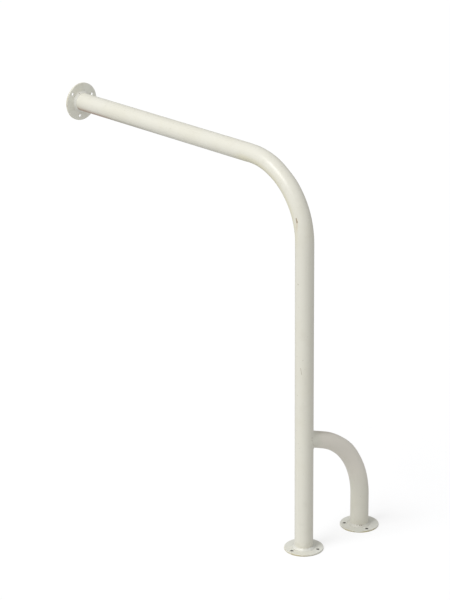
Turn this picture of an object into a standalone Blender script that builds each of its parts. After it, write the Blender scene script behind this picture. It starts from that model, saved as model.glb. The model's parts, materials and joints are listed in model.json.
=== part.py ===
"""Pool handrail: one bent rail tube from a wall flange to a floor flange, with a bent side leg.

Units are metres and +Z is up. The origin is the centre of the underside of the post's floor
flange. The post stands on the origin, the arm runs from its top towards -X and ends at the
wall, and the side leg stands off towards +Y. All the joints are fillet welds.
"""

import math

import bmesh
import bpy
from mathutils import Matrix, Vector

# Tube stock, the same for the rail and the side leg.
TUBE_DIAMETER = 0.0424
TUBE_WALL = 0.0026

# Rail: the floor to the arm's axis, the wall face to the post's axis, and the bend's axis.
RAIL_HEIGHT = 0.906
WALL_TO_POST = 0.756
RAIL_BEND_RADIUS = 0.168

# Side leg: post axis to foot axis, the upright stretch above the floor, and the bend.
LEG_OFFSET = 0.181
LEG_UPRIGHT = 0.078
LEG_BEND_RADIUS = 0.185
LEG_BEND_ANGLE = math.radians(70.0)

# Round flange plates with a circle of screw holes, and each plate's hole clocking.
FLANGE_DIAMETER = 0.090
FLANGE_THICKNESS = 0.004
FLANGE_EDGE_ROUND = 0.0008
HOLE_DIAMETER = 0.007
HOLE_CIRCLE_DIAMETER = 0.069
HOLE_COUNT = 3
POST_HOLES_TURN = math.radians(24.0)
LEG_HOLES_TURN = math.radians(-15.0)
WALL_HOLES_TURN = math.radians(20.0)

# Fillet welds: width along each piece and dome height, at the flanges and round the saddle,
# which is widest in the crotches above and below the leg.
FLANGE_WELD_WIDTH = 0.005
FLANGE_WELD_CROWN = 0.0006
SADDLE_WELD_CROTCH = 0.005
SADDLE_WELD_SIDE = 0.003
SADDLE_WELD_CROWN = 0.0012

# Clearance that pieces keep where they touch.
FIT_GAP = 0.0003

# Facets. The tubes, the saddle cutter and the weld rings share TUBE_SIDES, so flats line up.
TUBE_SIDES = 24
BEND_STEPS = 20
FLANGE_SIDES = 48
HOLE_SIDES = 16
EDGE_ROUND_SEGMENTS = 2
WELD_FACE_STEPS = 4
SADDLE_STEPS = 36

WELD_DISTANCE = 1e-6
SHARP_ANGLE = math.radians(40.0)

# Values that follow from the sizes above.
TUBE_RADIUS = TUBE_DIAMETER / 2
TUBE_SEAT = FLANGE_THICKNESS + FIT_GAP
LEG_SLOPE = Vector((0.0, math.sin(LEG_BEND_ANGLE), -math.cos(LEG_BEND_ANGLE)))

# Finish of each piece: base colour (linear), roughness, metallic.
WARM_WHITE = (0.72, 0.70, 0.60, 1.0)
SHADED_WHITE = (0.62, 0.60, 0.50, 1.0)
PLATE_WHITE = (0.66, 0.65, 0.56, 1.0)
FINISHES = {
    "rail_tube": (WARM_WHITE, 0.32, 0.0),
    "leg_tube": (SHADED_WHITE, 0.34, 0.0),
    "post_flange": (PLATE_WHITE, 0.42, 0.0),
    "leg_flange": (PLATE_WHITE, 0.45, 0.0),
    "wall_flange": (PLATE_WHITE, 0.40, 0.0),
    "post_flange_weld": (WARM_WHITE, 0.48, 0.0),
    "leg_flange_weld": (SHADED_WHITE, 0.50, 0.0),
    "wall_flange_weld": (WARM_WHITE, 0.46, 0.0),
    "leg_joint_weld": (SHADED_WHITE, 0.48, 0.0),
}


def clear_scene():
    """Remove every object, so that the script can be run again."""
    for obj in list(bpy.data.objects):
        bpy.data.objects.remove(obj, do_unlink=True)


def new_collection(name):
    """A collection in the scene, reused when the script is run again."""
    collection = bpy.data.collections.get(name) or bpy.data.collections.new(name)
    if name not in bpy.context.scene.collection.children:
        bpy.context.scene.collection.children.link(collection)
    return collection


def make_finish(name):
    """The Principled BSDF material of one piece."""
    colour, roughness, metallic = FINISHES[name]
    material = bpy.data.materials.new(name + "_finish")
    material.use_nodes = True
    shader = material.node_tree.nodes["Principled BSDF"]
    shader.inputs["Base Color"].default_value = colour
    shader.inputs["Roughness"].default_value = roughness
    shader.inputs["Metallic"].default_value = metallic
    return material


def finish_piece(obj):
    """Give a piece its material and smooth shading between its sharp edges."""
    obj.data.materials.clear()
    obj.data.materials.append(make_finish(obj.name))
    obj.data.shade_smooth()
    obj.data.set_sharp_from_angle(angle=SHARP_ANGLE)


def add_object(name, data, collection, parent=None):
    """Link a new object, in the frame of its parent."""
    obj = bpy.data.objects.new(name, data)
    collection.objects.link(obj)
    obj.parent = parent
    return obj


def make_cutter(obj):
    """Show a cutter as wire, and keep it out of renders."""
    obj.display_type = "WIRE"
    obj.hide_render = True
    return obj


def add_cut(piece, cutter):
    """Cut a piece by a cutter object."""
    cut = piece.modifiers.new("cut_" + cutter.name, "BOOLEAN")
    cut.operation = "DIFFERENCE"
    cut.solver = "EXACT"
    cut.object = cutter


def sweep(name, points, radius, capped, collection):
    """A round section swept along a centreline, as a mesh with any caps welded on."""
    curve = bpy.data.curves.new(name + "_path", "CURVE")
    curve.dimensions = "3D"
    curve.bevel_depth = radius
    curve.bevel_resolution = TUBE_SIDES // 2 - 2
    curve.use_fill_caps = capped
    spline = curve.splines.new("POLY")
    spline.points.add(len(points) - 1)
    for spot, place in zip(spline.points, points):
        spot.co = (*place, 1.0)
    path = bpy.data.objects.new(name + "_path", curve)
    collection.objects.link(path)

    graph = bpy.context.evaluated_depsgraph_get()
    mesh = bpy.data.meshes.new_from_object(path.evaluated_get(graph))
    mesh.name = name
    form = bmesh.new()
    form.from_mesh(mesh)
    bmesh.ops.remove_doubles(form, verts=form.verts, dist=WELD_DISTANCE)
    form.to_mesh(mesh)
    form.free()
    piece = add_object(name, mesh, collection)
    piece.matrix_world = path.matrix_world
    bpy.data.objects.remove(path, do_unlink=True)
    return piece


def arc(centre, radius, along, across, start, end):
    """Points on an arc: at angle 0 it lies towards along, at 90 degrees towards across."""
    points = []
    for step in range(BEND_STEPS + 1):
        angle = start + (end - start) * step / BEND_STEPS
        points.append(centre + radius * (math.cos(angle) * along + math.sin(angle) * across))
    return points


def rail_path():
    """Centreline of the rail tube, from the wall flange down to the floor flange."""
    centre = Vector((-RAIL_BEND_RADIUS, 0.0, RAIL_HEIGHT - RAIL_BEND_RADIUS))
    bend = arc(centre, RAIL_BEND_RADIUS, Vector((1, 0, 0)), Vector((0, 0, 1)), math.pi / 2, 0.0)
    wall_end = Vector((TUBE_SEAT - WALL_TO_POST, 0.0, RAIL_HEIGHT))
    floor_end = Vector((0.0, 0.0, TUBE_SEAT))
    return [wall_end, *bend, floor_end]


def leg_path():
    """Centreline of the side leg, from its flange up and over to the post's axis."""
    centre = Vector((0.0, LEG_OFFSET - LEG_BEND_RADIUS, LEG_UPRIGHT))
    bend = arc(centre, LEG_BEND_RADIUS, Vector((0, 1, 0)), Vector((0, 0, 1)), 0.0, LEG_BEND_ANGLE)
    floor_end = Vector((0.0, LEG_OFFSET, TUBE_SEAT))
    reach = bend[-1].y / LEG_SLOPE.y
    return [floor_end, *bend, bend[-1] - reach * LEG_SLOPE]


def make_tube(name, points, collection):
    """An open-ended tube with its outside on the sweep and its wall inside."""
    tube = sweep(name, points, TUBE_RADIUS, False, collection)
    wall = tube.modifiers.new("tube_wall", "SOLIDIFY")
    wall.thickness = TUBE_WALL
    wall.offset = -1.0
    wall.use_even_offset = True
    finish_piece(tube)
    return tube


def make_post_cutter(cutters):
    """The post's outside plus the fit gap, which cuts the leg's saddle."""
    points = [Vector((0.0, 0.0, 0.0)), Vector((0.0, 0.0, RAIL_HEIGHT - RAIL_BEND_RADIUS))]
    return make_cutter(sweep("post_clearance", points, TUBE_RADIUS + FIT_GAP, True, cutters))


def saddle_section(angle):
    """Closed section of the saddle weld at one angle round the leg: its root, then its face."""
    side = Vector((1.0, 0.0, 0.0))
    off_leg = math.cos(angle) * side + math.sin(angle) * side.cross(LEG_SLOPE)
    ring = (TUBE_RADIUS + FIT_GAP) * off_leg
    stand_off = math.sqrt((TUBE_RADIUS + 2 * FIT_GAP) ** 2 - ring.x ** 2)
    root = leg_path()[-1] + ring + (stand_off - ring.y) / LEG_SLOPE.y * LEG_SLOPE
    off_post = Vector((root.x, root.y, 0.0)).normalized()
    along_post = (off_leg - off_leg.dot(off_post) * off_post).normalized()
    outward = (off_leg + off_post).normalized()
    width = SADDLE_WELD_SIDE + (SADDLE_WELD_CROTCH - SADDLE_WELD_SIDE) * abs(math.sin(angle))
    leg_toe = root + width * LEG_SLOPE
    post_toe = root + width * along_post
    section = [root]
    for step in range(WELD_FACE_STEPS + 1):
        share = step / WELD_FACE_STEPS
        dome = SADDLE_WELD_CROWN * math.sin(math.pi * share)
        section.append(leg_toe.lerp(post_toe, share) + dome * outward)
    return section


def make_saddle_weld(name, collection):
    """The fillet weld round the leg's saddle, lofted because its section changes all the way."""
    form = bmesh.new()
    rings = []
    for step in range(SADDLE_STEPS):
        section = saddle_section(math.tau * step / SADDLE_STEPS)
        rings.append([form.verts.new(point) for point in section])
    for ring, following in zip(rings, rings[1:] + rings[:1]):
        for corner in range(len(ring)):
            other = (corner + 1) % len(ring)
            form.faces.new((ring[corner], ring[other], following[other], following[corner]))
    bmesh.ops.recalc_face_normals(form, faces=form.faces)
    mesh = bpy.data.meshes.new(name)
    form.to_mesh(mesh)
    form.free()
    finish_piece(add_object(name, mesh, collection))


def make_frame(name, matrix, collection):
    """An empty at the centre of a flange's back face, with +Z out along the tube."""
    frame = add_object(name, None, collection)
    frame.matrix_world = matrix
    return frame


def make_hole_cutter(name, turn, frame, cutters):
    """Pins through a flange at its screw holes, in the flange's frame."""
    form = bmesh.new()
    for index in range(HOLE_COUNT):
        spoke = Matrix.Rotation(turn + math.tau * index / HOLE_COUNT, 4, "Z")
        place = Matrix.Translation((HOLE_CIRCLE_DIAMETER / 2, 0.0, FLANGE_THICKNESS / 2))
        bmesh.ops.create_cone(
            form,
            cap_ends=True,
            segments=HOLE_SIDES,
            radius1=HOLE_DIAMETER / 2,
            radius2=HOLE_DIAMETER / 2,
            depth=FLANGE_THICKNESS * 2,
            matrix=spoke @ place,
        )
    mesh = bpy.data.meshes.new(name)
    form.to_mesh(mesh)
    form.free()
    return make_cutter(add_object(name, mesh, cutters, frame))


def make_flange(name, turn, frame, collection, cutters):
    """A round plate with a rounded rim and its screw holes, standing on its back face."""
    form = bmesh.new()
    bmesh.ops.create_cone(
        form,
        cap_ends=True,
        segments=FLANGE_SIDES,
        radius1=FLANGE_DIAMETER / 2,
        radius2=FLANGE_DIAMETER / 2,
        depth=FLANGE_THICKNESS,
        matrix=Matrix.Translation((0.0, 0.0, FLANGE_THICKNESS / 2)),
    )
    mesh = bpy.data.meshes.new(name)
    form.to_mesh(mesh)
    form.free()
    plate = add_object(name, mesh, collection, frame)
    rim = plate.modifiers.new("rim_round", "BEVEL")
    rim.width = FLANGE_EDGE_ROUND
    rim.segments = EDGE_ROUND_SEGMENTS
    rim.limit_method = "ANGLE"
    add_cut(plate, make_hole_cutter(name + "_holes", turn, frame, cutters))
    finish_piece(plate)


def weld_section():
    """Closed section of a flange weld: down its slightly domed face, then back along its root."""
    root = TUBE_RADIUS + FIT_GAP
    top = Vector((root, 0.0, TUBE_SEAT + FLANGE_WELD_WIDTH))
    toe = Vector((root + FLANGE_WELD_WIDTH, 0.0, TUBE_SEAT))
    outward = Vector((1.0, 0.0, 1.0)).normalized()
    section = []
    for step in range(WELD_FACE_STEPS + 1):
        share = step / WELD_FACE_STEPS
        dome = FLANGE_WELD_CROWN * math.sin(math.pi * share)
        section.append(top.lerp(toe, share) + dome * outward)
    section.append(Vector((root, 0.0, TUBE_SEAT)))
    return section


def make_flange_weld(name, frame, collection):
    """The fillet weld ring between a flange and its tube."""
    section = weld_section()
    count = len(section)
    edges = [(index, (index + 1) % count) for index in range(count)]
    mesh = bpy.data.meshes.new(name)
    mesh.from_pydata(section, edges, [])
    ring = add_object(name, mesh, collection, frame)
    turned = ring.modifiers.new("turned", "SCREW")
    turned.axis = "Z"
    turned.angle = math.tau
    turned.steps = TUBE_SIDES
    turned.render_steps = TUBE_SIDES
    turned.use_merge_vertices = True
    turned.merge_threshold = WELD_DISTANCE
    finish_piece(ring)


def make_end(name, matrix, turn, collection, cutters):
    """One fixing end: its frame, its flange and the weld that holds the tube to it."""
    frame = make_frame(name + "_frame", matrix, collection)
    make_flange(name, turn, frame, collection, cutters)
    make_flange_weld(name + "_weld", frame, collection)


def main():
    """Build the whole handrail."""
    clear_scene()
    parts = new_collection("pool_handrail")
    cutters = new_collection("cutters")

    make_tube("rail_tube", rail_path(), parts)
    leg = make_tube("leg_tube", leg_path(), parts)
    add_cut(leg, make_post_cutter(cutters))
    make_saddle_weld("leg_joint_weld", parts)

    wall_axes = Matrix(((0.0, 0.0, 1.0), (1.0, 0.0, 0.0), (0.0, 1.0, 0.0))).to_4x4()
    wall_place = Matrix.Translation((-WALL_TO_POST, 0.0, RAIL_HEIGHT)) @ wall_axes
    leg_place = Matrix.Translation((0.0, LEG_OFFSET, 0.0))
    make_end("post_flange", Matrix.Identity(4), POST_HOLES_TURN, parts, cutters)
    make_end("leg_flange", leg_place, LEG_HOLES_TURN, parts, cutters)
    make_end("wall_flange", wall_place, WALL_HOLES_TURN, parts, cutters)


main()
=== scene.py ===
"""Painted pool handrail: the finished look of the rail, its side leg, plates and welds."""

import json
import math
from functools import partialmethod
from types import SimpleNamespace
from typing import NamedTuple

import bmesh
import bpy
from bpy.props import FloatProperty, FloatVectorProperty, IntProperty, PointerProperty
from mathutils import Matrix, Vector


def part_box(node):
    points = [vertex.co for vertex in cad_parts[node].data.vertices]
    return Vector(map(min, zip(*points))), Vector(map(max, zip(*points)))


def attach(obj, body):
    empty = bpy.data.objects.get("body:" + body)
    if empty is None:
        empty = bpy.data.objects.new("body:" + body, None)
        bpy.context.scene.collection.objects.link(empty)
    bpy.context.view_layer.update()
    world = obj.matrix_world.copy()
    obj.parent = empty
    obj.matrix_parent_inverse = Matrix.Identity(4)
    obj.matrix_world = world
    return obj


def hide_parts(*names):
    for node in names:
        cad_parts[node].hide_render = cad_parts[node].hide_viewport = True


bl_info = {
    "name": "Pool Handrail",
    "version": (1, 0, 0),
    "blender": (4, 5, 0),
    "location": "3D View > Sidebar > Handrail",
    "description": "Bent tube handrail with a side leg, round plates and fillet welds",
    "category": "Add Mesh",
}

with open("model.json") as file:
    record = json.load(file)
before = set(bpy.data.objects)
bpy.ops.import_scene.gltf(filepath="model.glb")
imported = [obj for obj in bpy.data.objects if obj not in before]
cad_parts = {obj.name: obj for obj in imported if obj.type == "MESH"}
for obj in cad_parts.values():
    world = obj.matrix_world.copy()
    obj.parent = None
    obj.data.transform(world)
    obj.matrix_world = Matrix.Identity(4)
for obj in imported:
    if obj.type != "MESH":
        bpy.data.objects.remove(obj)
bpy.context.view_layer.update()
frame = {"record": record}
MOUNTS = {mount["name"]: Vector(mount["pos_m"]) for mount in frame["record"]["mounts"]}

RAIL_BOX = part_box("rail_tube")
PLATE_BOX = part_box("post_flange")
TUBE_DIAMETER = RAIL_BOX[1].y - RAIL_BOX[0].y
PLATE_DIAMETER = PLATE_BOX[1].x - PLATE_BOX[0].x
PLATE_THICKNESS = PLATE_BOX[1].z - PLATE_BOX[0].z
TUBE_SEAT = RAIL_BOX[0].z
WALL_TO_POST = -MOUNTS["wall_face"].x
RAIL_HEIGHT = MOUNTS["wall_face"].z
LEG_OFFSET = MOUNTS["leg_floor_face"].y
POST_GAP = 0.0003  # between the post and the leg's cut end

SMOOTH_LIMIT = math.radians(38.0)  # a sharper edge than this stays sharp
SEAM, PLATE_SEAM = 2e-6, 2e-5  # points closer than this become one
QUARTER = math.pi / 2
MILLIMETRE = 0.001


# Node trees: a thin layer that lets them be written as formulas.

def is_vector(value):
    """True for a vector output or a plain sequence of three numbers."""
    if isinstance(value, Term):
        return value.socket.type == "VECTOR"
    return hasattr(value, "__len__")


def put(tree, kind, values=(), output=0, **settings):
    """Adds a node, fills or links its inputs and returns one of its outputs."""
    node = tree.nodes.new(kind)
    for name, value in settings.items():
        setattr(node, name, value)
    pairs = values.items() if isinstance(values, dict) else enumerate(values)
    for key, value in pairs:
        if isinstance(value, Term):
            tree.links.new(value.socket, node.inputs[key])
        else:
            node.inputs[key].default_value = value
    return Term(tree, node.outputs[output])


class Term:
    """One output of a node, which adds the nodes for its own arithmetic."""

    def __init__(self, tree, socket):
        self.tree = tree
        self.socket = socket

    def maths(self, operation, *others, output=0):
        values = (self, *others)
        kind = "ShaderNodeVectorMath" if any(map(is_vector, values)) else "ShaderNodeMath"
        return put(self.tree, kind, values, output, operation=operation)

    __add__ = __radd__ = partialmethod(maths, "ADD")
    __sub__ = partialmethod(maths, "SUBTRACT")
    __truediv__ = partialmethod(maths, "DIVIDE")
    least = partialmethod(maths, "MINIMUM")
    most = partialmethod(maths, "MAXIMUM")
    above = partialmethod(maths, "GREATER_THAN")
    size = partialmethod(maths, "ABSOLUTE")
    sine = partialmethod(maths, "SINE")
    cosine = partialmethod(maths, "COSINE")
    root = partialmethod(maths, "SQRT")
    power = partialmethod(maths, "POWER")
    cross = partialmethod(maths, "CROSS_PRODUCT")
    unit = partialmethod(maths, "NORMALIZE")
    dot = partialmethod(maths, "DOT_PRODUCT", output=1)
    length = partialmethod(maths, "LENGTH", output=1)

    def __rsub__(self, other):
        return self * -1.0 + other

    def __mul__(self, other):
        if is_vector(self) == is_vector(other):
            return self.maths("MULTIPLY", other)
        arrow, scale = (self, other) if is_vector(self) else (other, self)
        values = {0: arrow, "Scale": scale}
        return put(self.tree, "ShaderNodeVectorMath", values, operation="SCALE")

    __rmul__ = __mul__

    def __rtruediv__(self, other):
        return self.power(-1.0) * other

    def between(self, low, high):
        return self.most(low).least(high)

    def part(self, axis):
        return put(self.tree, "ShaderNodeSeparateXYZ", (self,), axis)

    def ramp(self, low, high):
        """0 at low, 1 at high, eased at both ends."""
        values = {"Value": self, "From Min": low, "From Max": high}
        return put(self.tree, "ShaderNodeMapRange", values, interpolation_type="SMOOTHSTEP")


def vector(tree, x, y, z):
    return put(tree, "ShaderNodeCombineXYZ", (x, y, z))


def noise(place, scale, detail=2.0, roughness=0.5):
    """Noise from 0 to 1 that depends only on the place."""
    values = {"Vector": place, "Scale": scale, "Detail": detail, "Roughness": roughness}
    return put(place.tree, "ShaderNodeTexNoise", values)


def patches(place, scale, low, high, detail=3.0, roughness=0.6):
    """Patches of noise: 0 where it is below low and 1 where it is above high."""
    return noise(place, scale, detail, roughness).ramp(low, high)


def mixed(low, high, share):
    """low where share is 0 and high where it is 1."""
    return low + (high - low) * share


# Shapes.

LUMP_STRETCH, LUMP_SCALE = 16.0, 1.3  # lumps of a tube, along it and round it
RIM_SCALE = 90.0  # unevenness of a plate's rim
BEAD_CURVE = 2.5  # power of a bead's section: 2 is flat, more is hollow
BEAD_LUMP_SCALE, BEAD_WANDER = 3.5, 0.6  # lumps round a bead, and their part in its width
RIPPLE_SCALE, RIPPLE_DRIFT = 9.0, 5.0  # how the ripples' spacing wanders
RIPPLE_BOW = 3.0  # how far a ripple bows back at both toes
TOE_POWER, TOE_SCALE = 4.0, 16.0  # both toes of a bead sink fully, and its middle doesn't
SADDLE_LIMIT = 0.985  # share of the post's radius at which the saddle is still defined


def start_shape(name, sizes):
    """A Geometry Nodes tree with one named input for each size, and those inputs."""
    tree = bpy.data.node_groups.new(name, "GeometryNodeTree")
    sockets = tree.interface
    sockets.new_socket("Geometry", in_out="OUTPUT", socket_type="NodeSocketGeometry")
    sockets.new_socket("Finish", in_out="INPUT", socket_type="NodeSocketMaterial")
    for label, value in sizes.items():
        kind = "Vector" if hasattr(value, "__len__") else type(value).__name__.capitalize()
        kind = "NodeSocket" + kind
        socket = sockets.new_socket(label, in_out="INPUT", socket_type=kind)
        socket.default_value = value
    entry = tree.nodes.new("NodeGroupInput")
    return tree, {socket.name: Term(tree, socket) for socket in entry.outputs if socket.name}


def end_shape(tree, surface, finish, gap=SEAM):
    """Realizes the surface, closes its seams, smooths it and paints it."""
    surface = put(tree, "GeometryNodeRealizeInstances", (surface,))
    surface = put(tree, "GeometryNodeMergeByDistance", {"Geometry": surface, "Distance": gap})
    surface = put(tree, "GeometryNodeSetShadeSmooth", {"Geometry": surface})
    surface = put(tree, "GeometryNodeSetMaterial", {"Geometry": surface, "Material": finish})
    last = tree.nodes.new("NodeGroupOutput")
    tree.links.new(surface.socket, last.inputs["Geometry"])


def joined(tree, *surfaces):
    node = tree.nodes.new("GeometryNodeJoinGeometry")
    for surface in surfaces:
        tree.links.new(surface.socket, node.inputs[0])
    return Term(tree, node.outputs[0])


def blank_sheet(tree, rows, columns):
    """A flat sheet of rows by columns points, its row number and its 0 to 1 turn."""
    values = {"Size X": 1.0, "Size Y": 1.0, "Vertices X": rows, "Vertices Y": columns}
    sheet = put(tree, "GeometryNodeMeshGrid", values)
    place = put(tree, "GeometryNodeInputPosition")
    row = (place.part("X") + 0.5) * (rows - 1.0)
    turn = place.part("Y") + 0.5
    return sheet, row, turn


def shaped(tree, sheet, place):
    return put(tree, "GeometryNodeSetPosition", {"Geometry": sheet, "Position": place})


def bent_tube_tree(sizes):
    """A hollow tube: a straight, one bend and a straight, flattened a little in the bend."""
    tree, size = start_shape("bent_tube", sizes)
    rings = size["Rings"]
    # The rows run down the outside, over the end, up the inside and back to the start.
    sheet, row, turn = blank_sheet(tree, rings * 2.0 + 3.0, size["Sides"] + 1.0)
    inside = row.above(rings + 0.5) * (1.0 - row.above(rings * 2.0 + 1.5))
    share = row.least(rings * 2.0 + 1.0 - row).most(0.0) / rings

    first, bend, angle = size["First Straight"], size["Bend Radius"], size["Bend Angle"]
    heading, towards = size["Heading"], size["Turn Towards"]
    bent = bend * angle
    along = share * (first + bent + size["Last Straight"])
    turned = ((along - first) / bend).between(0.0, angle)
    ahead = along.least(first) + bend * turned.sine()
    aside = bend * (1.0 - turned.cosine())
    after = (along - first - bent).most(0.0)

    flat = along.ramp(size["Flat From"], size["Flat Full"])
    flat = flat * (1.0 - along.ramp(size["Round From"], size["Round Full"]))
    flat = flat * size["Flattening"]
    around = turn * math.tau
    lumps = vector(tree, along * LUMP_STRETCH, around.cosine(), around.sine())
    lumps = noise(lumps, LUMP_SCALE, detail=1.0)
    mark = (1.0 - ((along - first) / size["Die Mark Width"]).power(2.0)).most(0.0)
    radius = size["Diameter"] * 0.5 - inside * size["Wall"]
    radius = radius + (lumps - 0.5) * size["Waviness"] - mark * mark * size["Die Mark"]
    outer = (around.sine() * -1.0).most(0.0)
    kink = (1.0 - ((along - size["Kink At"]) / size["Kink Width"]).size()).most(0.0)
    radius = radius + kink * outer * size["Kink"]
    inward = towards * turned.cosine() - heading * turned.sine()
    side = heading.cross(towards)
    offset = side * (around.cosine() * radius * (1.0 + flat * size["Widening"]))
    offset = offset + inward * (around.sine() * radius * (1.0 - flat))

    # Where Saddle is 1, the last straight stretches or shrinks to end on the post's side.
    onward = heading * angle.cosine() + towards * angle.sine()
    centre = size["Start"] + heading * ahead + towards * aside
    base = centre + offset
    post_side = (size["Post Radius"].power(2.0) - offset.part("X").power(2.0)).most(0.0).root()
    reach = (base.part("Y") - post_side) / angle.sine()
    cut = after / size["Last Straight"] * reach
    after = mixed(after, cut, size["Saddle"])
    end_shape(tree, shaped(tree, sheet, base + onward * after), size["Finish"])
    return tree


def rounded_rim(tree, radius, outward, size, rings, sides):
    """The rounded edge of a plate at one radius, with a flat lip on both faces."""
    sheet, row, turn = blank_sheet(tree, rings, sides + 1.0)
    level = row - (rings - 1.0) * 0.5
    step = QUARTER / (rings * 0.5 - 2.0)
    curl = ((level.size() - 0.5) * step).between(0.0, QUARTER)
    lip = (level.size() - (rings * 0.5 - 1.0)).above(0.0) * size["Lip"]
    roundness, half = size["Edge Round"], size["Thickness"] * 0.5
    around = turn * math.tau
    ring = vector(tree, around.cosine(), around.sine(), 0.0)
    uneven = noise(ring * radius * RIM_SCALE, 1.0) - 0.5
    uneven = uneven * size["Rim Wear"] * curl.cosine()
    reach = radius + (roundness * (curl.cosine() - 1.0) - lip + uneven) * outward
    height = half + level.maths("SIGN") * (half - roundness + roundness * curl.sine())
    return shaped(tree, sheet, ring * reach + vector(tree, 0.0, 0.0, height))


def plate_tree(sizes):
    """A round plate with screw holes, and worn round edges on both."""
    tree, size = start_shape("round_plate", sizes)
    inset = size["Edge Round"] + size["Lip"]
    rings, sides, hole_sides = size["Edge Rings"], size["Sides"], size["Hole Sides"]
    radius, hole_radius = size["Diameter"] * 0.5, size["Hole Diameter"] * 0.5
    rim = rounded_rim(tree, radius, 1.0, size, rings, sides)
    hole = rounded_rim(tree, hole_radius, -1.0, size, rings, hole_sides)

    def circle(count, reach):
        values = {"Resolution": count, "Radius": reach}
        return put(tree, "GeometryNodeCurvePrimitiveCircle", values)

    stations = circle(size["Hole Count"], size["Hole Circle"] * 0.5)
    turn = {"Geometry": stations, "Rotation": vector(tree, 0.0, 0.0, size["Hole Turn"])}
    stations = put(tree, "GeometryNodeTransform", turn)

    def repeated(shape):
        values = {"Points": stations, "Instance": shape}
        return put(tree, "GeometryNodeInstanceOnPoints", values)

    outline = joined(tree, circle(sides, radius - inset),
                     repeated(circle(hole_sides, hole_radius + inset)))
    outline = put(tree, "GeometryNodeRealizeInstances", (outline,))
    under = put(tree, "GeometryNodeFillCurve", {"Curve": outline})
    lift = vector(tree, 0.0, 0.0, size["Thickness"])
    upper = put(tree, "GeometryNodeTransform", {"Geometry": under, "Translation": lift})
    under = put(tree, "GeometryNodeFlipFaces", {"Mesh": under})
    surface = joined(tree, rim, repeated(hole), upper, under)
    end_shape(tree, surface, size["Finish"], PLATE_SEAM)
    return tree


def bead_face(tree, size, row, turn, reach):
    """What both kinds of bead share: where a point lies on the face, and how proud it is."""
    steps = size["Face Rows"]
    share = row * (1.0 - row.above(steps + 1.5)) / steps
    share = share.least(1.0)
    at_root = row.above(steps + 0.5) * (1.0 - row.above(steps + 1.5))
    quarter = share * QUARTER
    level, climb = quarter.cosine().power(BEAD_CURVE), quarter.sine().power(BEAD_CURVE)
    around = turn * math.tau
    ring = vector(tree, around.cosine(), around.sine(), 0.0)
    drift = (noise(ring * RIPPLE_SCALE, 1.0, detail=1.0) - 0.5) * RIPPLE_DRIFT
    arc = (share - 0.5).power(2.0) * RIPPLE_BOW
    wave = ((turn * size["Ripples"] + arc) * math.tau + drift).cosine() * size["Ripple"]
    swell = (share * math.pi).sine()
    lumps = (noise(ring * BEAD_LUMP_SCALE, 1.0) - 0.5) * size["Unevenness"]
    height = swell * (size["Dome"] + wave + lumps)
    for number in (1, 2, 3):
        pit = size[f"Pit {number}"]
        across = (around - pit.part("X")).maths("WRAP", math.pi, -math.pi) * reach
        down = (share - pit.part("Y")) * size["Width"] * math.sqrt(2.0)
        far = (across.power(2.0) + down.power(2.0)) / size["Pit Radius"].power(2.0)
        hollow = (1.0 - far).most(0.0)
        height = height - hollow * hollow * pit.part("Z")
    sunk = size["Sink"] * (share - 0.5).power(TOE_POWER) * TOE_SCALE
    return SimpleNamespace(level=level, climb=climb, share=share, at_root=at_root,
                           around=around, ring=ring, wander=lumps * BEAD_WANDER,
                           proud=height - sunk)


def plate_bead_tree(sizes):
    """The fillet bead round a tube where it stands on its plate."""
    tree, size = start_shape("plate_bead", sizes)
    sheet, row, turn = blank_sheet(tree, size["Face Rows"] + 3.0, size["Sides"] + 1.0)
    tube = size["Tube Diameter"] * 0.5
    face = bead_face(tree, size, row, turn, tube + size["Width"] * 0.5)
    width = size["Width"] + face.wander
    proud, hidden = face.proud * math.sqrt(0.5), size["Sink"] * -2.0
    out = mixed(width * face.level + proud, hidden, face.at_root)
    up = mixed(width * face.climb + proud, hidden, face.at_root)
    rise = vector(tree, 0.0, 0.0, size["Plate Thickness"] + up)
    end_shape(tree, shaped(tree, sheet, face.ring * (tube + out) + rise), size["Finish"])
    return tree


def joint_bead_tree(sizes):
    """The fillet bead round the leg's saddle on the post, wider in the crotch."""
    tree, size = start_shape("joint_bead", sizes)
    sheet, row, turn = blank_sheet(tree, size["Face Rows"] + 3.0, size["Sides"] + 1.0)
    tube, post = size["Tube Diameter"] * 0.5, size["Post Radius"]
    face = bead_face(tree, size, row, turn, tube)
    cosine, sine = face.around.cosine(), face.around.sine()
    slope, side = size["Leg Slope"], size["Leg Side"]
    across = side.cross(slope)
    off_leg = (side * cosine + across * sine).unit()
    loop = side * (cosine * tube * (1.0 + size["Flattening"] * size["Widening"]))
    loop = loop + across * (sine * tube * (1.0 - size["Flattening"]))
    beside = loop.part("X").between(post * -SADDLE_LIMIT, post * SADDLE_LIMIT)
    stand_off = (post.power(2.0) - beside.power(2.0)).root()
    travel = (stand_off - loop.part("Y")) / slope.part("Y")
    on_leg = size["Joint"] + loop + slope * travel
    root = vector(tree, beside, stand_off, on_leg.part("Z"))
    plan = vector(tree, 1.0, 1.0, 0.0)
    off_post = (root * plan).unit()
    along_post = (off_leg - off_post * off_leg.dot(off_post)).unit()
    outward = (off_leg + off_post).unit()
    width = mixed(size["Side Width"], size["Width"], sine.size()) + face.wander
    leg_toe = on_leg + slope * width
    post_toe = root + along_post * width
    axis_part = vector(tree, 0.0, 0.0, post_toe.part("Z"))
    post_toe = (post_toe * plan).unit() * post + axis_part
    place = mixed(on_leg, root, face.share)
    place = place + (leg_toe - on_leg) * face.level + (post_toe - root) * face.climb
    place = place + outward * face.proud
    hidden = root - outward * (size["Sink"] * 3.0)
    place = mixed(place, hidden, face.at_root)
    end_shape(tree, shaped(tree, sheet, place), size["Finish"])
    return tree


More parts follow.
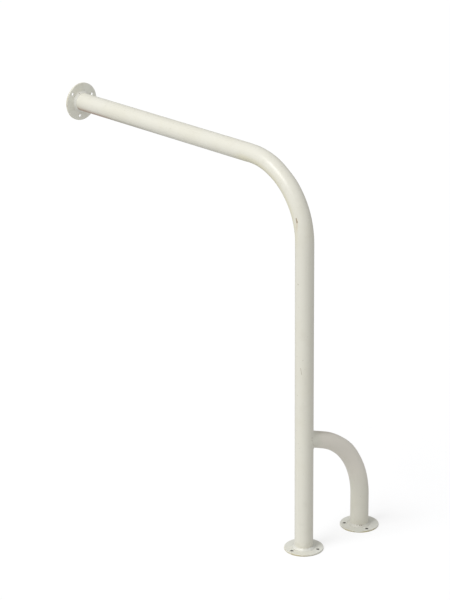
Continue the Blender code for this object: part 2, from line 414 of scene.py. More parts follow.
def make_piece(name, tree, values, finish, node, place=Matrix()):
    """Runs a tree with its sizes and turns the result into one plain, closed mesh."""
    piece = bpy.data.objects.new(name, bpy.data.meshes.new(name))
    bpy.context.scene.collection.objects.link(piece)
    modifier = piece.modifiers.new("shape", "NODES")
    modifier.node_group = tree
    values = {**values, "Finish": finish}
    for item in tree.interface.items_tree:
        if item.in_out == "INPUT" and item.name in values:
            modifier[item.identifier] = values[item.name]
    graph = bpy.context.evaluated_depsgraph_get()
    mesh = bpy.data.meshes.new_from_object(piece.evaluated_get(graph), depsgraph=graph)
    piece.modifiers.remove(modifier)
    mesh.transform(place)
    form = bmesh.new()
    form.from_mesh(mesh)
    bmesh.ops.remove_doubles(form, verts=form.verts, dist=SEAM)
    bmesh.ops.recalc_face_normals(form, faces=form.faces)
    if any(not edge.is_manifold for edge in form.edges):
        raise RuntimeError(f"{name} is not closed")
    form.to_mesh(mesh)
    form.free()
    mesh.set_sharp_from_angle(angle=SMOOTH_LIMIT)
    mesh.name = name
    piece.data = mesh
    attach(piece, "root")
    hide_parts(node)


# Finishes.

class Finish:
    """A paint look that is built up layer by layer, from the enamel outwards."""

    def __init__(self, name, look, tint=(1.0, 1.0, 1.0)):
        self.material = bpy.data.materials.new(name)
        self.material.use_nodes = True
        self.tree = self.material.node_tree
        self.tree.nodes.clear()
        self.look = look
        self.place = put(self.tree, "ShaderNodeTexCoord", output="Object")
        self.wobble = noise(self.place, 420.0, 3.0, 0.6) - 0.5
        # A piece's tint scales the enamel: on the wall plate and the welds this lightens or
        # darkens it as painted light and shade.
        enamel = (*(a * b for a, b in zip(look.enamel, tint)), 1.0)
        self.colour = put(self.tree, "ShaderNodeRGB")
        self.colour.socket.default_value = enamel
        spread = look.roughness_spread
        self.rough = noise(self.place, 35.0, 3.0, 0.6) * spread
        self.rough = self.rough + (look.roughness - spread / 2)
        skin, lumps = noise(self.place, 520.0), noise(self.place, 70.0)
        self.height = skin * look.orange_peel + lumps * look.paint_lumps
        aged = patches(self.place, 11.0, 0.42, 0.72)
        soiled = patches(self.place, 48.0, 0.50, 0.75, 4.0)
        specks = patches(self.place, 260.0, 0.76, 0.80, 1.0, 0.5)
        self.layer(aged, look.aged, 0.55, rough=None)
        self.layer(soiled, look.soil, 0.22, rough=None)
        self.layer(specks, look.grime, 0.45, rough=0.7)

    def layer(self, mask, colour, strength=1.0, rough=0.6, height=0.0):
        """Paints a colour where the mask is 1, with its roughness and height."""
        share = mask * strength if strength != 1.0 else mask
        values = {0: share, 6: self.colour, 7: (*colour, 1.0)}
        self.colour = put(self.tree, "ShaderNodeMix", values, 2, data_type="RGBA")
        if rough is not None:
            self.rough = mixed(self.rough, rough, share)
        if height:
            self.height = self.height + share * height

    def near(self, centre, radii, ragged=0.35):
        """Distance from a centre in units of the radii, with a ragged outline."""
        away = (self.place - tuple(centre)) * tuple(1.0 / radius for radius in radii)
        return away.length() + self.wobble * ragged * 2.0

    def fleck(self, centre, radii, colour, strength, ragged=0.35):
        """A small spot of dirt or rust."""
        spot = 1.0 - self.near(centre, radii, ragged).ramp(0.75, 1.1)
        self.layer(spot, colour, strength, rough=0.75)

    def rust_chip(self, centre, radii):
        """Paint broken away down to rusty steel, with a yellow stain round it."""
        look = self.look
        away = self.near(centre, radii, 0.45)
        halo = 1.0 - away.ramp(0.8, 2.4)
        self.layer(halo, look.stain, 0.40)
        bare = 1.0 - away.ramp(0.85, 1.0)
        self.layer(bare, look.rust, rough=0.85, height=-0.22)
        grain = patches(self.place, 900.0, 0.45, 0.60, roughness=0.7)
        self.layer(bare * grain, look.bare_steel, 0.8, rough=0.8)

    def done(self):
        """Ends the paint in a shader. Heights are in millimetres."""
        bump = {"Strength": 1.0, "Distance": MILLIMETRE, "Height": self.height}
        shader = put(self.tree, "ShaderNodeBsdfPrincipled", {
            "Base Color": self.colour, "Roughness": self.rough, "IOR": self.look.ior,
            "Normal": put(self.tree, "ShaderNodeBump", bump)})
        surface = self.tree.nodes.new("ShaderNodeOutputMaterial")
        self.tree.links.new(shader.socket, surface.inputs["Surface"])
        return self.material


# Where a change in the tubes' paint starts and where it is complete, in metres.
BEND_TO_ARM, WALL_END, DIRTY_ARM = (-0.20, -0.12), (-0.68, -0.60), (-0.56, -0.42)
INNER_BEND_X, INNER_BEND_Z = (-0.24, -0.17), (0.72, 0.77)
OUTER_BEND_X, OUTER_BEND_Z = (-0.13, -0.06), (0.70, 0.78)
LEG_Y, LEG_BEND_Z, LEG_FOOT_Z = (0.020, 0.045), (0.09, 0.17), (0.05, 0.14)
LEG_TOP_Z, ABOVE_PLATES_Z = (0.13, 0.19), (0.009, 0.034)

# Marks on the tubes: their centres and radii, in metres.
CHIP = Vector((-0.0042, -0.0206, 0.7936))
CHIP_RUN = (0.0012, 0.0, -0.0130), (0.0036, 0.006, 0.0180)
CHIP_PARTS = (
    ((-0.0012, 0.0002, 0.0030), (0.0008, 0.004, 0.0022)),
    ((0.0002, 0.0, -0.0004), (0.0008, 0.004, 0.0020)),
    ((0.0014, 0.0, -0.0034), (0.0010, 0.004, 0.0026)),
)
SPOTS = (
    ((0.0012, -0.0211, 0.6473), (0.0016, 0.003, 0.0019), "grime", 0.45),
    ((0.0127, -0.0168, 0.4701), (0.0014, 0.003, 0.0014), "grime", 0.20),
    ((0.0001, -0.0212, 0.3838), (0.0012, 0.003, 0.0016), "grime", 0.25),
    ((-0.4149, -0.0195, 0.9145), (0.0042, 0.004, 0.0014), "soil", 0.60),
)
RUB_TOP, RUB_FOOT = Vector((0.0078, -0.0196, 0.4528)), Vector((0.0108, -0.0182, 0.4341))
RUB_HALF_WIDTH = 0.0007


def tube_finish(look, tubes):
    """Enamel on the bent tubes, with the chips, stains and grime of use."""
    finish = Finish("tube_enamel", look)
    place = finish.place
    x, y, z = (place.part(axis) for axis in "XYZ")
    radius, height = tubes.diameter / 2, tubes.rail_height
    on_arm, on_leg = 1.0 - x.ramp(*BEND_TO_ARM), y.ramp(*LEG_Y)

    # Long wiped streaks, along the arm and down the post and leg.
    arm_streaks = patches(place * (6.0, 130.0, 130.0), 1.0, 0.52, 0.72)
    post_streaks = patches(place * (130.0, 130.0, 5.0), 1.0, 0.52, 0.72)
    streaks = mixed(post_streaks, arm_streaks, on_arm)
    finish.layer(streaks, look.soil, 0.16, rough=0.5)

    # Dirt that has dried along the underside of the arm, rusty near the wall.
    line = 1.0 - z.ramp(height - radius * 0.62, height - radius * 0.42)
    above = 1.0 - z.ramp(height - radius * 0.44, height - radius * 0.15)
    near_wall, dirty = 1.0 - x.ramp(*WALL_END), 1.0 - x.ramp(*DIRTY_ARM)
    drips = mixed(0.65, 1.0, patches(place * (38.0, 120.0, 120.0), 1.0, 0.25, 0.55))
    finish.layer(above * near_wall * drips, look.rust_stain, 0.13)
    finish.layer(line * near_wall * drips, look.rust_stain, 0.48)
    dirty = dirty * mixed(1.0, 0.25, near_wall)
    finish.layer(line * on_arm * dirty * drips, look.grime, 0.26, rough=0.7)

    # Yellowing that has run to the inner side of the bend, and a stain on its outer side.
    hub = (-tubes.rail_bend, 0.0, height - tubes.rail_bend)
    spoke = ((place - hub) * (1.0, 0.0, 1.0)).length() - tubes.rail_bend
    inner = 1.0 - spoke.ramp(radius * -0.35, radius * 0.25)
    inner = inner * x.ramp(*INNER_BEND_X) * z.ramp(*INNER_BEND_Z)
    inner = inner * mixed(0.6, 0.9, patches(place, 22.0, 0.3, 0.7))
    finish.layer(inner, look.yellowed, rough=0.5)
    outer = y.ramp(radius * 0.40, radius * 0.62)
    outer = outer * x.ramp(*OUTER_BEND_X) * z.ramp(*OUTER_BEND_Z)
    finish.layer(outer, look.stain, 0.20, rough=0.5)

    # Painted light makes the leg's bend paler, and the leg's paint is duller near its foot.
    finish.layer(on_leg * z.ramp(*LEG_BEND_Z), look.leg_enamel, 0.75, rough=0.5)
    foot = on_leg * (1.0 - z.ramp(*LEG_FOOT_Z))
    finish.layer(foot, look.soil, 0.25, rough=0.5)

    # Dust that lies along the top of the leg's bend.
    hub = (0.0, tubes.leg_offset - tubes.leg_bend, tubes.leg_upright)
    spoke = ((place - hub) * (0.0, 1.0, 1.0)).length() - tubes.leg_bend
    top = spoke.ramp(radius * 0.76, radius * 0.97) * z.ramp(*LEG_TOP_Z)
    dusty = mixed(0.28, 0.42, patches(place, 25.0, 0.3, 0.7, 4.0, 0.65))
    finish.layer(top * on_leg * dusty, look.grime, rough=0.7)

    # Scum that settles just above the floor plates.
    low = 1.0 - z.ramp(*ABOVE_PLATES_Z)
    scum = patches(place, 90.0, 0.35, 0.65)
    finish.layer(low * scum, look.grime, 0.10)

    # One thin chip where the bend runs into the post, with its rust run below it.
    away, radii = CHIP_RUN
    run = finish.near(CHIP + Vector(away), radii, 0.25)
    finish.layer(1.0 - run.ramp(0.2, 1.2), look.stain, 0.30)
    for away, radii in CHIP_PARTS:
        finish.rust_chip(CHIP + Vector(away), radii)
    for centre, radii, colour, strength in SPOTS:
        finish.fleck(centre, radii, getattr(look, colour), strength)

    # A long rub mark lower on the post.
    middle, run = (RUB_TOP + RUB_FOOT) / 2, RUB_FOOT - RUB_TOP
    away, way = place - tuple(middle), tuple(run.normalized())
    along = away.dot(way) / (run.length / 2)
    beside = away.cross(way).length() / RUB_HALF_WIDTH + finish.wobble
    rub = (1.0 - along.size().ramp(0.7, 1.0)) * (1.0 - beside.ramp(0.5, 1.2))
    finish.layer(rub, look.grime, 0.58, rough=0.55, height=-0.04)
    return finish.done()


def round_place(finish, seat):
    """A place in a plate's own frame: two ways across, up, and away from the axis."""
    away = finish.place - tuple(seat.translation)
    x, y, up = (away.dot(tuple(seat.col[number].xyz)) for number in range(3))
    return x, y, up, vector(finish.tree, x, y, 0.0).length()


SCREW_HEAD_RADIUS = 0.0058


def plate_finish(plate, settings, seat, turn):
    """Enamel on one round plate, worn yellow round its rim, dirty round its holes and with
    painted shade inside them.
    """
    look, plates = settings.look, settings.plates
    # The plate's tint makes the wall plate's enamel lighter, as painted light; on the floor
    # plates it only shifts the tone.
    finish = Finish(plate.name + "_enamel", look, plate.tint)
    place = finish.place
    x, y, up, level = round_place(finish, seat)
    ragged = finish.wobble * 0.0012
    reach = level + ragged
    radius, thickness = plates.diameter / 2, plates.thickness

    # The rim, rubbed through to yellowed primer on one side and grey with dirt on the rest.
    edge = reach.ramp(radius - 0.0012, radius - 0.0002)
    patchy = patches(place, 55.0, 0.30, 0.62)
    worn = ((place - tuple(seat.translation)).dot(plate.worn_side) / radius).ramp(0.35, 0.85)
    finish.layer(edge * patchy * mixed(0.12, 0.35, worn), look.rim)
    low = edge * (1.0 - up.ramp(0.0006, thickness * 0.8))
    low = low * mixed(0.35, 1.0, patchy) * mixed(0.25, 1.0, worn)
    finish.layer(low, look.rim, rough=0.7)
    lowest = edge * (1.0 - up.ramp(0.0002, thickness * 0.5))
    finish.layer(lowest * mixed(0.70, 0.45, worn), look.grime, rough=0.75)
    rusty = patches(place + (0.31, 0.17, 0.05), 80.0, 0.56, 0.66, 4.0, 0.7)
    finish.layer(edge * rusty, look.rust, 0.35, rough=0.8, height=-0.05)

    # Grey scum on the face, and dirt in the corner beside the weld.
    scum = patches(place, 75.0, 0.42, 0.70, 4.0, 0.65)
    finish.layer(scum, look.grime, 0.06, rough=0.55)
    toe = settings.tubes.diameter / 2 + settings.welds.width
    front = up.ramp(thickness * 0.4, thickness * 0.8)
    corner = (1.0 - (reach - toe).size().ramp(0.0006, 0.0030)) * front
    finish.layer(corner * scum, look.grime, 0.25)

    # Painted shade in the mouths of the holes, and the ring that a screw head left.
    slice_angle = math.pi / plates.hole_count
    angle = (y.maths("ARCTAN2", x) - turn).maths("WRAP", slice_angle, -slice_angle)
    folded = vector(finish.tree, angle.cosine(), angle.sine(), 0.0) * level
    from_hole = (folded - (plates.hole_circle / 2, 0.0, 0.0)).length() + ragged * 0.6
    mouth = plates.hole_diameter / 2
    inside = 1.0 - from_hole.ramp(mouth - 0.0001, mouth + 0.0006)
    # Near black painted shade inside the holes.
    finish.layer(inside, look.hole_dirt, plate.hole_dirt, rough=0.8)
    ring = 1.0 - (from_hole - SCREW_HEAD_RADIUS).size().ramp(0.0004, 0.0016)
    finish.layer(ring * scum * front, look.grime, 0.15, rough=0.5)
    return finish.done()


def plate_bead_finish(plate, settings, seat):
    """Enamel over one plate's weld, with dirt along its toes and in its pits."""
    look, width = settings.look, settings.welds.width
    tube, thickness = settings.tubes.diameter / 2, settings.plates.thickness
    # The weld tint is painted light and shade: lighter on the wall weld, darker on the post and
    # leg welds.
    finish = Finish(plate.name + "_weld_enamel", look, plate.weld_tint)
    *_, up, level = round_place(finish, seat)
    ragged = finish.wobble * 0.0010
    out, up = level - tube + ragged, up - thickness + ragged
    patchy = patches(finish.place, 120.0, 0.40, 0.65)
    plate_toe = (1.0 - up.ramp(0.0001, 0.0010)) * 0.12
    tube_toe = (1.0 - out.ramp(0.0002, 0.0009)) * 0.34
    toes = plate_toe.most(tube_toe) * mixed(0.4, 1.0, patchy)
    finish.layer(toes, look.grime)
    for angle, share, depth in plate.pits:
        if depth > 0.0:
            reach = tube + width * (1.0 - share)
            spot = (reach * math.cos(angle), reach * math.sin(angle), thickness + width * share)
            radii = (1.6 * depth,) * 3
            finish.fleck(seat @ Vector(spot), radii, look.rust, 0.85, ragged=0.3)
    return finish.done()


def joint_bead_finish(look):
    """Enamel over the leg's saddle weld."""
    finish = Finish("leg_joint_enamel", look)
    dust = patches(finish.place, 140.0, 0.5, 0.7, 4.0, 0.65)
    finish.layer(dust, look.grime, 0.35, rough=0.55)
    return finish.done()


# What a user would change.

def length(name, default, description):
    return FloatProperty(name=name, default=default, min=0.0, subtype="DISTANCE", unit="LENGTH",
                         precision=4, description=description)


def turn_of(name, degrees, description):
    return FloatProperty(name=name, default=math.radians(degrees), subtype="ANGLE",
                         unit="ROTATION", description=description)


def paint(name, default, description):
    return FloatVectorProperty(name=name, default=default, min=0.0, max=1.0, subtype="COLOR",
                               description=description)


def amount(name, default, description, most=1.0):
    return FloatProperty(name=name, default=default, min=0.0, max=most, description=description)


class TubeSizes(bpy.types.PropertyGroup):
    """Sizes of the rail and the side leg."""

    diameter: length("Tube Diameter", TUBE_DIAMETER, "Outside of the rail and leg tube")
    wall: length("Tube Wall", 0.0026, "Thickness of the tube's wall")
    seat: length("Tube Seat", TUBE_SEAT, "Height of the tube's end above its plate's back")
    rail_height: length("Rail Height", RAIL_HEIGHT, "Floor to the arm's centreline")
    wall_to_post: length("Wall to Post", WALL_TO_POST, "Wall to the post's centreline")
    rail_bend: length("Rail Bend Radius", 0.168, "Centreline radius of the rail's bend")
    rail_flat: amount("Rail Flattening", 0.034, "Share of its width that the rail's bend lost")
    leg_offset: length("Leg Offset", LEG_OFFSET, "Post to the leg's foot, centre to centre")
    leg_upright: length("Leg Upright", 0.078, "Floor to the start of the leg's bend")
    leg_bend: length("Leg Bend Radius", 0.185, "Centreline radius of the leg's bend")
    leg_angle: turn_of("Leg Bend Angle", 70.0, "How far the leg's bend turns")
    leg_flat: amount("Leg Flattening", 0.10, "Share of its width that the leg lost at the post")
    rail_die_mark: length("Rail Die Mark", 0.0003, "Depth of the mark where the bend starts")
    rail_dent: length("Rail Dent", 0.0012, "How far the outside of the rail's bend is pressed in")
    rail_dent_angle: turn_of("Rail Dent Angle", 34.0, "Where in the rail's bend its dent is")
    leg_kink: length("Leg Kink", 0.0014, "How far the leg's bend stands out at its kink")
    leg_kink_angle: turn_of("Leg Kink Angle", 42.0, "Where in the leg's bend its kink is")


class PlateSizes(bpy.types.PropertyGroup):
    """Sizes of the three round plates."""

    diameter: length("Plate Diameter", PLATE_DIAMETER, "Outside of a plate")
    thickness: length("Plate Thickness", PLATE_THICKNESS, "Thickness of a plate")
    edge_round: length("Edge Round", 0.0010, "Rounding of the rim and the hole edges")
    hole_diameter: length("Hole Diameter", 0.007, "Screw hole")
    hole_circle: length("Hole Circle", 0.069, "Diameter of the circle the holes stand on")
    hole_count: IntProperty(name="Hole Count", default=3, min=1, description="Holes in a plate")
    post_turn: turn_of("Post Holes Turn", 24.0, "Turn of the post plate's holes")
    leg_turn: turn_of("Leg Holes Turn", -15.0, "Turn of the leg plate's holes")
    wall_turn: turn_of("Wall Holes Turn", 20.0, "Turn of the wall plate's holes")


class WeldSizes(bpy.types.PropertyGroup):
    """Sizes of the fillet welds."""

    width: length("Weld Width", 0.005, "Width of a bead along each piece it joins")
    side_width: length("Joint Side Width", 0.003, "Width of the joint bead beside the leg")
    dome: length("Weld Dome", 0.0003, "How far the bead's face stands out")
    ripple: length("Ripple Height", 0.00006, "Height of the ripples in the bead's face")
    ripples: amount("Ripples", 64.0, "Ripples in one turn of a plate's bead", 400.0)
    unevenness: length("Unevenness", 0.0012, "How much the bead's size wanders")


class EnamelLook(bpy.types.PropertyGroup):
    """Colours and surface of the painted finish."""

    enamel: paint("Enamel", (0.715, 0.700, 0.612), "Off-white enamel")
    aged: paint("Aged Enamel", (0.690, 0.668, 0.560), "Enamel that has yellowed")
    soil: paint("Soiled Enamel", (0.600, 0.580, 0.490), "Enamel under old dirt")
    # Near black, painted into the holes as their shade.
    hole_dirt: paint("Hole Painted Shade", (0.055, 0.048, 0.038), "Painted shade in the screw holes")
    grime: paint("Grime", (0.230, 0.190, 0.120), "Dried dirt in corners")
    rim: paint("Worn Rim", (0.430, 0.350, 0.105), "Primer at rubbed edges")
    stain: paint("Yellow Stain", (0.560, 0.430, 0.260), "Old water stain on paint")
    yellowed: paint("Yellowed Enamel", (0.710, 0.680, 0.520), "Enamel inside the bend")
    # Paler paint on the leg's bend, as painted light.
    leg_enamel: paint("Leg Bend Painted Light", (0.800, 0.755, 0.675), "Painted light on the leg's bend")
    rust: paint("Rust", (0.150, 0.092, 0.042), "Rust in chips")
    rust_stain: paint("Rust Stain", (0.360, 0.165, 0.085), "Rust run over paint")
    bare_steel: paint("Bare Steel", (0.200, 0.165, 0.140), "Steel in chips")
    roughness: amount("Roughness", 0.32, "Roughness of clean enamel")
    roughness_spread: amount("Roughness Spread", 0.10, "How much its roughness varies")
    ior: amount("Gloss", 1.45, "Refractive index of the paint", 3.0)
    orange_peel: amount("Orange Peel", 0.012, "Height of the fine skin, in millimetres")
    paint_lumps: amount("Paint Lumps", 0.10, "Height of the broad lumps, in millimetres")


class StageLook(bpy.types.PropertyGroup):
    """The floor, the light and the camera."""

    floor_colour: paint("Floor", (0.30, 0.30, 0.30), "Plain pale floor")
    floor_glow: amount("Floor Glow", 0.70, "Light that the floor gives off", 5.0)
    sky: amount("Soft Light", 0.62, "Light from all round", 10.0)
    sky_lean: amount("Soft Light Lean", 0.10, "How much more of it comes from the front")
    sky_dimming: amount("Soft Light Dimming", 0.12, "How much less of it comes from behind")
    key: amount("Key Light", 1.95, "Soft light from the upper left", 20.0)
    key_colour: paint("Key Colour", (0.965, 0.970, 1.0), "Colour of the key light")
    key_azimuth: turn_of("Key Azimuth", -3.0, "Where the key light stands round the rail")
    key_elevation: turn_of("Key Elevation", 48.0, "Height of the key light")
    key_spread: turn_of("Key Spread", 32.0, "Width of the key light, seen from the rail")
    camera_azimuth: turn_of("Camera Azimuth", 47.36, "Where the camera stands")
    camera_elevation: turn_of("Camera Elevation", 20.41, "Height of the camera")
    camera_roll: turn_of("Camera Roll", -0.52, "Tilt of the camera about its view")
    camera_distance: length("Camera Distance", 5.716, "Camera to the point it looks at")
    camera_aim: FloatVectorProperty(name="Camera Aim", default=(-0.2645, 0.0056, 0.5331),
                                    subtype="XYZ", unit="LENGTH", description="Its target")
    lens: amount("Lens", 150.0, "Focal length in millimetres", 500.0)


class HandrailSettings(bpy.types.PropertyGroup):
    """Everything a user of the handrail would change."""

    tubes: PointerProperty(type=TubeSizes)
    plates: PointerProperty(type=PlateSizes)
    welds: PointerProperty(type=WeldSizes)
    look: PointerProperty(type=EnamelLook)
    stage: PointerProperty(type=StageLook)


# The pieces.

FLOOR_AXES = ((1, 0, 0), (0, 1, 0), (0, 0, 1))
WALL_AXES = ((0, 1, 0), (0, 0, 1), (1, 0, 0))
DEEP, SHALLOW = 0.0009, 0.0006
NO_PIT = (0.0, 0.0, 0.0)


def pit(degrees, share, depth=DEEP):
    """A weld pit: its angle round the bead, its share up the face and its depth."""
    return math.radians(degrees), share, depth


class Plate(NamedTuple):
    """One round plate and its weld."""

    name: str
    node: str
    mount: str
    axes: tuple
    holes_turn: str
    # How strongly the painted shade fills its holes.
    hole_dirt: float
    worn_side: tuple
    # On the wall plate this tint is painted light that lightens its paint; on the floor plates it
    # only shifts the tone.
    tint: tuple  # how its paint differs from the tubes'
    # Painted light and shade on the weld: it lightens the wall weld and darkens the post and leg
    # welds.
    weld_tint: tuple
    pits: tuple = (NO_PIT, NO_PIT, NO_PIT)


# The tints below carry painted light and shade: the wall plate and its weld are lightened, the
# post and leg welds darkened. The hole numbers set the painted shade in the holes.
PLATES = (
    Plate("post_plate", "post_flange", "post_floor_face", FLOOR_AXES, "post_turn", 0.95,
          worn_side=(0.0, -1.0, 0.0), tint=(0.965, 0.985, 1.020),
          weld_tint=(0.915, 0.935, 0.985)),
    Plate("leg_plate", "leg_flange", "leg_floor_face", FLOOR_AXES, "leg_turn", 0.95,
          worn_side=(0.7, -0.7, 0.0), tint=(0.965, 0.985, 1.020),
          weld_tint=(0.850, 0.855, 0.870),
          pits=(pit(-60.0, 0.92), pit(-43.0, 0.87), pit(-32.0, 0.84))),
    Plate("wall_plate", "wall_flange", "wall_face", WALL_AXES, "wall_turn", 0.10,
          worn_side=(0.0, -0.9, -0.43), tint=(1.190, 1.215, 1.255),
          weld_tint=(1.100, 1.115, 1.170),
          pits=(pit(113.7, 0.55, SHALLOW), pit(61.2, 0.45, SHALLOW), NO_PIT)),
)


def seat_of(plate):
    """The place of a plate: its axes, at the middle of its back."""
    turn = Matrix(plate.axes).transposed().to_4x4()
    return Matrix.Translation(MOUNTS[plate.mount]) @ turn


def matching(group, inputs):
    """The sizes of a group for the inputs that have their names."""
    names = {label: label.lower().replace(" ", "_") for label in inputs}
    return {label: getattr(group, name) for label, name in names.items() if hasattr(group, name)}


def leg_bend_end(tubes):
    """Where the leg's bend ends, and the way down the leg from its joint with the post."""
    turn, radius = tubes.leg_angle, tubes.leg_bend
    slope = Vector((0.0, math.sin(turn), -math.cos(turn)))
    y = tubes.leg_offset - radius * (1.0 - math.cos(turn))
    return Vector((0.0, y, tubes.leg_upright + radius * math.sin(turn))), slope


# Each tree's inputs and their defaults, in metres and radians.
TUBE_INPUTS = {
    "Start": (0.0, 0.0, 0.0), "Heading": (0.0, 0.0, 1.0), "Turn Towards": (0.0, 1.0, 0.0),
    "First Straight": 0.5, "Bend Radius": 0.2, "Bend Angle": 1.5, "Last Straight": 0.5,
    "Diameter": 0.04, "Wall": 0.002, "Flattening": 0.0, "Widening": 0.12,
    "Flat From": 0.0, "Flat Full": 1.0, "Round From": 8.0, "Round Full": 9.0,
    "Waviness": 0.00012, "Die Mark": 0.0, "Die Mark Width": 0.012,
    "Kink": 0.0, "Kink At": 0.5, "Kink Width": 0.036,
    "Saddle": 0.0, "Post Radius": 0.02, "Rings": 200, "Sides": 72,
}

PLATE_INPUTS = {
    "Diameter": 0.09, "Thickness": 0.004, "Edge Round": 0.001, "Lip": 0.0004,
    "Rim Wear": 0.0003, "Hole Diameter": 0.007, "Hole Circle": 0.07, "Hole Count": 3,
    "Hole Turn": 0.0, "Edge Rings": 12, "Sides": 240, "Hole Sides": 48,
}

BEAD_INPUTS = {
    "Tube Diameter": 0.04, "Width": 0.005, "Dome": 0.0006, "Ripple": 0.0001, "Ripples": 60.0,
    "Unevenness": 0.001, "Sink": 0.00015, "Pit 1": NO_PIT, "Pit 2": NO_PIT, "Pit 3": NO_PIT,
    "Pit Radius": 0.0010, "Face Rows": 14, "Sides": 360,
}

PLATE_BEAD_INPUTS = {**BEAD_INPUTS, "Plate Thickness": 0.004}

JOINT_BEAD_INPUTS = {
    **BEAD_INPUTS, "Side Width": 0.003, "Post Radius": 0.02, "Flattening": 0.0,
    "Widening": 0.12, "Joint": (0.0, 0.0, 0.27), "Leg Slope": (0.0, 0.9, -0.3),
    "Leg Side": (1.0, 0.0, 0.0),
}


# How far the flattening of the rail's bend starts outside it, and is complete inside it.
FLAT_OUTSIDE, FLAT_INSIDE = 0.010, 0.030


class HANDRAIL_OT_tubes(bpy.types.Operator):
    """Adds the bent rail and the side leg."""

    bl_idname = "handrail.tubes"
    bl_label = "Add Tubes"

    def execute(self, context):
        settings = context.scene.handrail
        tubes = settings.tubes
        finish = tube_finish(settings.look, tubes)
        tree = bent_tube_tree(TUBE_INPUTS)
        start = (tubes.seat - tubes.wall_to_post, 0.0, tubes.rail_height)
        first = tubes.wall_to_post - tubes.rail_bend - tubes.seat
        bent = first + tubes.rail_bend * QUARTER
        make_piece("bent_rail", tree, {
            **matching(tubes, TUBE_INPUTS), "Start": start,
            "Heading": (1.0, 0.0, 0.0), "Turn Towards": (0.0, 0.0, -1.0),
            "First Straight": first, "Bend Radius": tubes.rail_bend, "Bend Angle": QUARTER,
            "Last Straight": tubes.rail_height - tubes.rail_bend - tubes.seat,
            "Flattening": tubes.rail_flat,
            "Flat From": first - FLAT_OUTSIDE, "Flat Full": first + FLAT_INSIDE,
            "Round From": bent - FLAT_INSIDE, "Round Full": bent + FLAT_OUTSIDE,
            "Die Mark": tubes.rail_die_mark, "Kink": -tubes.rail_dent,
            "Kink At": first + tubes.rail_bend * tubes.rail_dent_angle, "Rings": 300,
        }, finish, "rail_tube")

        end, slope = leg_bend_end(tubes)
        first = tubes.leg_upright - tubes.seat
        last = end.y / slope.y
        whole = first + tubes.leg_bend * tubes.leg_angle + last
        make_piece("side_leg", tree, {
            **matching(tubes, TUBE_INPUTS), "Start": (0.0, tubes.leg_offset, tubes.seat),
            "Heading": (0.0, 0.0, 1.0), "Turn Towards": (0.0, -1.0, 0.0),
            "First Straight": first, "Bend Radius": tubes.leg_bend,
            "Bend Angle": tubes.leg_angle, "Last Straight": last,
            "Flattening": tubes.leg_flat, "Flat From": first, "Flat Full": whole,
            "Saddle": 1.0, "Post Radius": tubes.diameter / 2 + POST_GAP,
            "Kink": tubes.leg_kink,
            "Kink At": first + tubes.leg_bend * tubes.leg_kink_angle, "Rings": 120,
        }, finish, "leg_tube")
        return {"FINISHED"}


class HANDRAIL_OT_plates(bpy.types.Operator):
    """Adds the three round plates with their screw holes."""

    bl_idname = "handrail.plates"
    bl_label = "Add Plates"

    def execute(self, context):
        settings = context.scene.handrail
        plates = settings.plates
        tree = plate_tree(PLATE_INPUTS)
        for plate in PLATES:
            seat, turn = seat_of(plate), getattr(plates, plate.holes_turn)
            values = {**matching(plates, PLATE_INPUTS), "Hole Turn": turn}
            finish = plate_finish(plate, settings, seat, turn)
            make_piece(plate.name, tree, values, finish, plate.node, seat)
        return {"FINISHED"}


class HANDRAIL_OT_plate_welds(bpy.types.Operator):
    """Adds the fillet welds round the tubes on their plates."""

    bl_idname = "handrail.plate_welds"
    bl_label = "Add Plate Welds"

    def execute(self, context):
        settings = context.scene.handrail
        tree = plate_bead_tree(PLATE_BEAD_INPUTS)
        for plate in PLATES:
            seat = seat_of(plate)
            make_piece(plate.name + "_weld", tree, {
                **matching(settings.welds, PLATE_BEAD_INPUTS),
                "Tube Diameter": settings.tubes.diameter,
                "Plate Thickness": settings.plates.thickness,
                "Pit 1": plate.pits[0], "Pit 2": plate.pits[1], "Pit 3": plate.pits[2],
            }, plate_bead_finish(plate, settings, seat), plate.node + "_weld", seat)
        return {"FINISHED"}


class HANDRAIL_OT_joint_weld(bpy.types.Operator):
    """Adds the fillet weld round the leg's saddle on the post."""

    bl_idname = "handrail.joint_weld"
    bl_label = "Add Joint Weld"

    def execute(self, context):
        settings = context.scene.handrail
        tubes = settings.tubes
        end, slope = leg_bend_end(tubes)
        make_piece("leg_joint_bead", joint_bead_tree(JOINT_BEAD_INPUTS), {
            **matching(settings.welds, JOINT_BEAD_INPUTS), "Tube Diameter": tubes.diameter,
            "Post Radius": tubes.diameter / 2, "Joint": end - slope * (end.y / slope.y),
            "Leg Slope": slope, "Flattening": tubes.leg_flat,
        }, joint_bead_finish(settings.look), "leg_joint_weld")
        return {"FINISHED"}


FLOOR_REACH = 40.0  # half of the floor's side, in metres
SENSOR_WIDTH = 36.0  # of the camera, in millimetres
WHITE = (1.0, 1.0, 1.0, 1.0)


def direction(azimuth, elevation):
    """Unit vector from the rail towards a light or camera: azimuth 0 is on the -Y side."""
    level = math.cos(elevation)
    return Vector((math.sin(azimuth) * level, -math.cos(azimuth) * level, math.sin(elevation)))


def add_floor(scene, stage):
    """A pale floor that takes soft shadows and doesn't colour the rail."""
    mesh = bpy.data.meshes.new("floor")
    corners = [(x * FLOOR_REACH, y * FLOOR_REACH, 0.0)
               for x, y in ((-1, -1), (1, -1), (1, 1), (-1, 1))]
    mesh.from_pydata(corners, [], [(0, 1, 2, 3)])
    floor = bpy.data.objects.new("floor", mesh)
    scene.collection.objects.link(floor)
    material = bpy.data.materials.new("floor_paint")
    material.use_nodes = True
    values = {"Base Color": (*stage.floor_colour, 1.0), "Roughness": 0.9,
              "Specular IOR Level": 0.0, "Emission Color": WHITE,
              "Emission Strength": stage.floor_glow}
    for name, value in values.items():
        material.node_tree.nodes["Principled BSDF"].inputs[name].default_value = value
    mesh.materials.append(material)
    floor.visible_diffuse = floor.visible_glossy = floor.visible_shadow = False


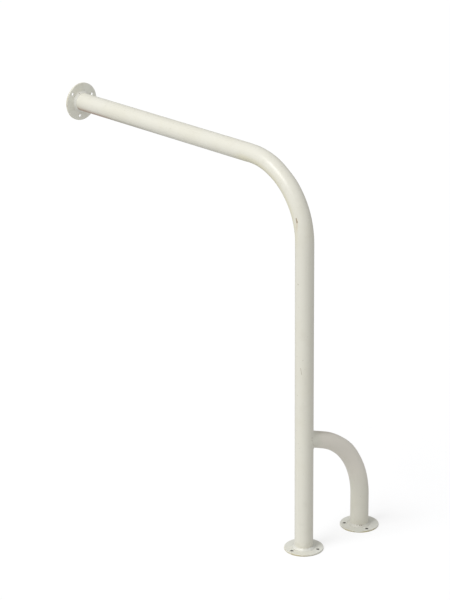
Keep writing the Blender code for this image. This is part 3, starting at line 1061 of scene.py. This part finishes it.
def add_light(scene, stage):
    """Light from all round, a little stronger in front, and one broad key light."""
    world = bpy.data.worlds.new("soft_light")
    world.use_nodes = True
    sky = world.node_tree.nodes["Background"]
    sky.inputs["Color"].default_value = WHITE
    view = put(world.node_tree, "ShaderNodeTexCoord", output="Generated")
    front = view.dot(direction(stage.key_azimuth, 0.0))
    behind = view.dot(direction(stage.camera_azimuth + math.pi, 0.0)).ramp(0.2, 0.9)
    glow = (front * stage.sky_lean + 1.0 - behind * stage.sky_dimming) * stage.sky
    world.node_tree.links.new(glow.socket, sky.inputs["Strength"])
    scene.world = world

    key = bpy.data.lights.new("key_light", "SUN")
    key.energy, key.angle, key.color = stage.key, stage.key_spread, stage.key_colour
    lamp = bpy.data.objects.new("key_light", key)
    towards = direction(stage.key_azimuth, stage.key_elevation)
    lamp.rotation_euler = towards.to_track_quat("Z", "Y").to_euler()
    scene.collection.objects.link(lamp)


def add_camera(scene, stage):
    lens = bpy.data.cameras.new("camera")
    lens.lens, lens.sensor_width = stage.lens, SENSOR_WIDTH
    back = direction(stage.camera_azimuth, stage.camera_elevation)
    right = Vector((0.0, 0.0, 1.0)).cross(back).normalized()
    up = back.cross(right)
    cosine, sine = math.cos(stage.camera_roll), math.sin(stage.camera_roll)
    turn = Matrix((right * cosine + up * sine, up * cosine - right * sine, back))
    place = Vector(stage.camera_aim) + back * stage.camera_distance
    camera = bpy.data.objects.new("camera", lens)
    camera.matrix_world = Matrix.Translation(place) @ turn.transposed().to_4x4()
    scene.collection.objects.link(camera)
    scene.camera = camera


class HANDRAIL_OT_stage(bpy.types.Operator):
    """Adds the floor, the soft light and the camera."""

    bl_idname = "handrail.stage"
    bl_label = "Add Stage"

    def execute(self, context):
        scene = context.scene
        for add in (add_floor, add_light, add_camera):
            add(scene, scene.handrail.stage)
        scene.view_settings.view_transform = "Standard"
        return {"FINISHED"}


class HANDRAIL_PT_panel(bpy.types.Panel):
    """Lists what can be added and the sizes and colours it takes."""

    bl_idname = "HANDRAIL_PT_panel"
    bl_label = "Pool Handrail"
    bl_space_type = "VIEW_3D"
    bl_region_type = "UI"
    bl_category = "Handrail"

    def draw(self, context):
        settings = context.scene.handrail
        for operator in OPERATORS:
            self.layout.operator(operator.bl_idname)
        for group in ("tubes", "plates", "welds", "look", "stage"):
            box = self.layout.box()
            box.label(text=group.capitalize())
            values = getattr(settings, group)
            for name in values.__annotations__:
                box.prop(values, name)


GROUPS = (TubeSizes, PlateSizes, WeldSizes, EnamelLook, StageLook, HandrailSettings)
OPERATORS = (HANDRAIL_OT_tubes, HANDRAIL_OT_plates, HANDRAIL_OT_plate_welds,
             HANDRAIL_OT_joint_weld, HANDRAIL_OT_stage)
CLASSES = (*GROUPS, *OPERATORS, HANDRAIL_PT_panel)


def register():
    for item in CLASSES:
        bpy.utils.register_class(item)
    bpy.types.Scene.handrail = PointerProperty(type=HandrailSettings)


def unregister():
    del bpy.types.Scene.handrail
    for item in reversed(CLASSES):
        bpy.utils.unregister_class(item)


def main():
    """Adds everything."""
    register()
    bpy.ops.handrail.tubes()
    bpy.ops.handrail.plates()
    bpy.ops.handrail.plate_welds()
    bpy.ops.handrail.joint_weld()
    bpy.ops.handrail.stage()


if __name__ == "__main__":
    main()
